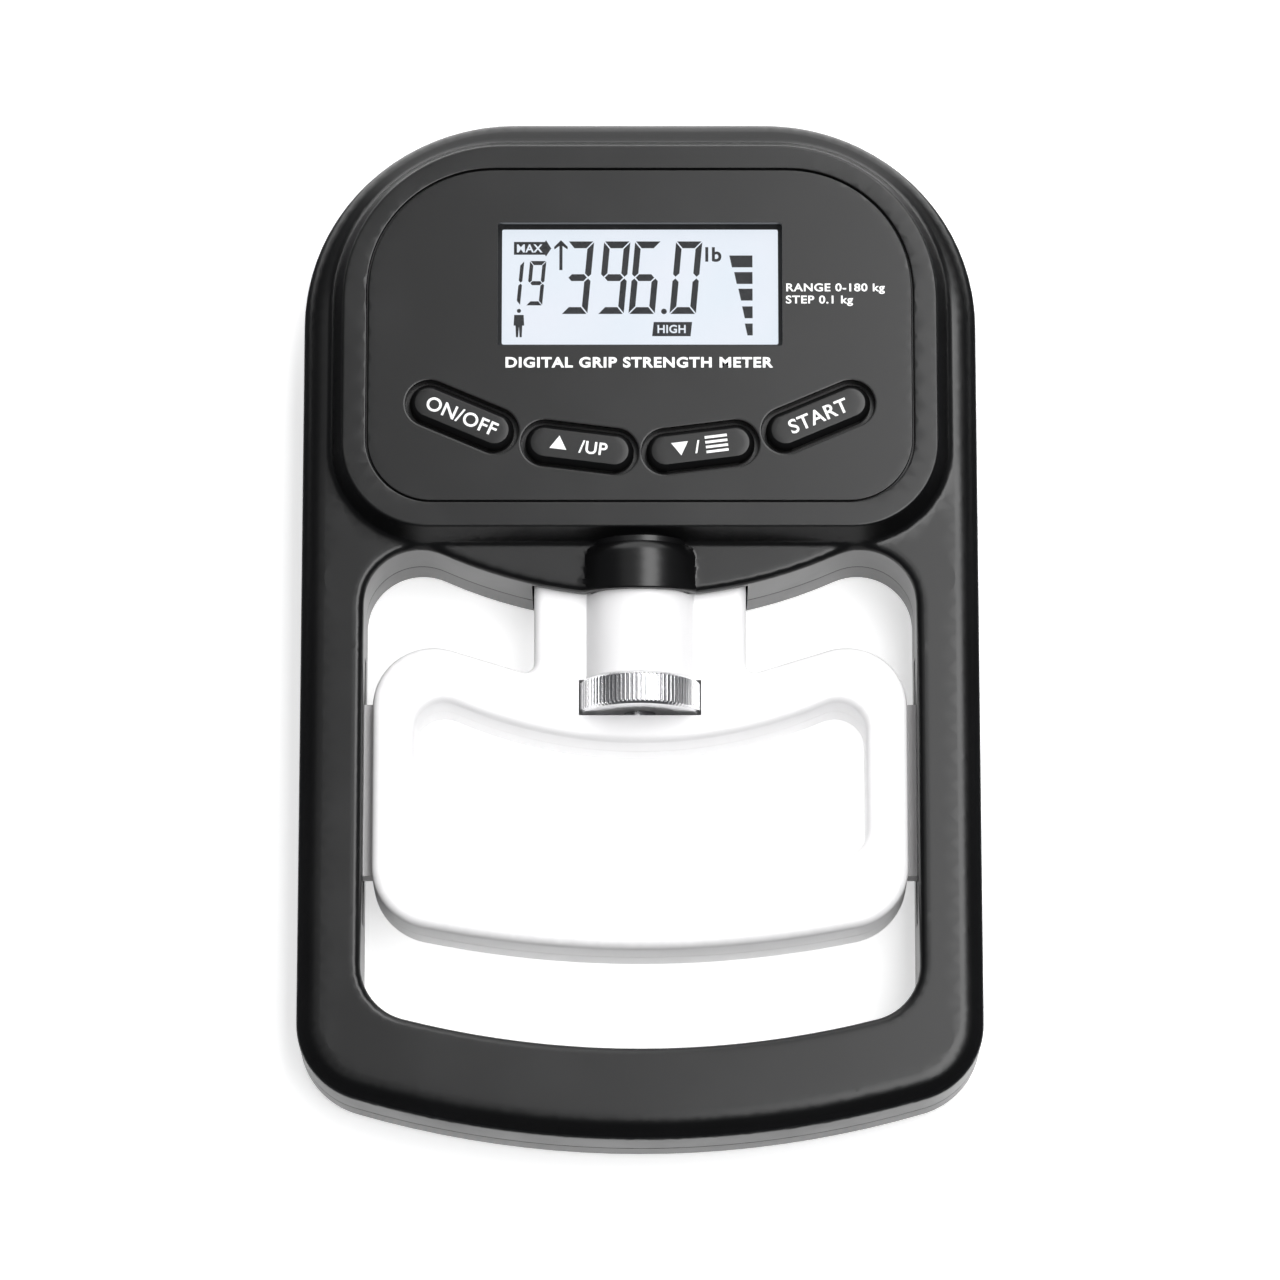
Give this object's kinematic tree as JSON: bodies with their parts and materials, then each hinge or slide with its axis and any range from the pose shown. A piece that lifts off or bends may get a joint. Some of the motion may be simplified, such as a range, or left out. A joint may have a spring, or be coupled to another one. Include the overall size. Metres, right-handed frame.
{
  "type": "hand dynamometer",
  "caption": "Electronic hand dynamometer: closed frame with a display head, four keys, a sliding inner handle and a knurled span knob.",
  "frame": {"origin": "middle of the footprint, on the back face", "axes": "+X across the grip to the right as the display is read, +Y from the palm bar to the display head, +Z from the back to the face"},
  "size_m": [0.128, 0.1972, 0.0282],
  "materials": {
    "shell_black": "satin moulded ABS with a fine texture",
    "panel_black": "smooth satin face panel",
    "key_black": "satin key cap",
    "clear_lens": "clear polished",
    "frame_black": "plain moulded",
    "display_glass": "backlit liquid crystal display",
    "light_guide": "white light guide",
    "strip_rubber": "striped conductive rubber",
    "board_green": "green solder mask",
    "chip_black": "moulded chip",
    "switch_steel": "plated spring steel",
    "pin_gold": "gold-plated pins",
    "cell_aluminium": "machined",
    "gauge_film": "gauge film",
    "screw_steel": "zinc-plated",
    "lead_white": "insulated lead",
    "lead_red": "insulated lead",
    "nut_brass": "turned",
    "stud_steel": "plated thread",
    "knob_chrome": "knurled chrome plating",
    "handle_white": "smooth white ABS",
    "guide_grey": "grey acetal",
    "battery_wrap": "printed sleeve, no lettering"
  },
  "bodies": {
    "frame": {"front_shell": "shell_black", "back_shell": "shell_black", "face_panel": "panel_black", "window_lens": "clear_lens", "lcd_frame": "frame_black", "lcd_glass": "display_glass", "backlight": "light_guide", "contact_strip": "strip_rubber", "main_board": "board_green", "board_chips": "chip_black", "key_board": "board_green", "key_switches": "switch_steel", "board_link": "pin_gold", "load_cell": "cell_aluminium", "strain_gauges": "gauge_film", "load_cell_screws": "screw_steel", "sensor_lead": "lead_white", "board_screws": "screw_steel", "battery_cells": "battery_wrap", "battery_springs": "switch_steel", "battery_contacts": "switch_steel", "battery_leads": "lead_red", "shell_screws": "screw_steel"},
    "load_nut": {"load_nut": "nut_brass"},
    "handle": {"handle_front": "handle_white", "handle_back": "handle_white", "handle_screws": "screw_steel", "guide_left": "guide_grey", "guide_right": "guide_grey", "thrust_washer": "stud_steel"},
    "knob": {"knob": "knob_chrome", "stud": "stud_steel"},
    "key_on": {"key_on": "key_black"},
    "key_up": {"key_up": "key_black"},
    "key_down": {"key_down": "key_black"},
    "key_start": {"key_start": "key_black"},
    "battery_door": {"battery_door": "shell_black"}
  },
  "joints": [
    {"name": "grip_squeeze", "type": "slide", "parent": "frame", "child": "load_nut", "axis": [0, -1, 0], "range_m": [0, 0.0008], "stiffness_N_per_m": 20000, "deforming": ["load_cell"]},
    {"name": "grip_span", "type": "slide", "parent": "load_nut", "child": "handle", "axis": [0, 1, 0], "range_m": [-0.008, 0.009]},
    {"name": "knob_turn", "type": "hinge", "parent": "handle", "child": "knob", "pos_m": [0, 0, 0.016], "axis": [0, 1, 0], "range_deg": [-2916, 3276]},
    {"name": "key_on_press", "type": "slide", "parent": "frame", "child": "key_on", "axis": [0, 0, -1], "range_m": [0, 0.0004], "stiffness_N_per_m": 800, "springref_m": -0.0005},
    {"name": "key_up_press", "type": "slide", "parent": "frame", "child": "key_up", "axis": [0, 0, -1], "range_m": [0, 0.0004], "stiffness_N_per_m": 800, "springref_m": -0.0005},
    {"name": "key_down_press", "type": "slide", "parent": "frame", "child": "key_down", "axis": [0, 0, -1], "range_m": [0, 0.0004], "stiffness_N_per_m": 800, "springref_m": -0.0005},
    {"name": "key_start_press", "type": "slide", "parent": "frame", "child": "key_start", "axis": [0, 0, -1], "range_m": [0, 0.0004], "stiffness_N_per_m": 800, "springref_m": -0.0005},
    {"name": "battery_door_swing", "type": "hinge", "parent": "frame", "child": "battery_door", "pos_m": [0, 0.0613, 0.0003], "axis": [-1, 0, 0], "range_deg": [0, 80]}
  ],
  "couplings": [
    {"joint": "knob_turn", "follows": "grip_span", "rad_per_m": 6283.2}
  ]
}
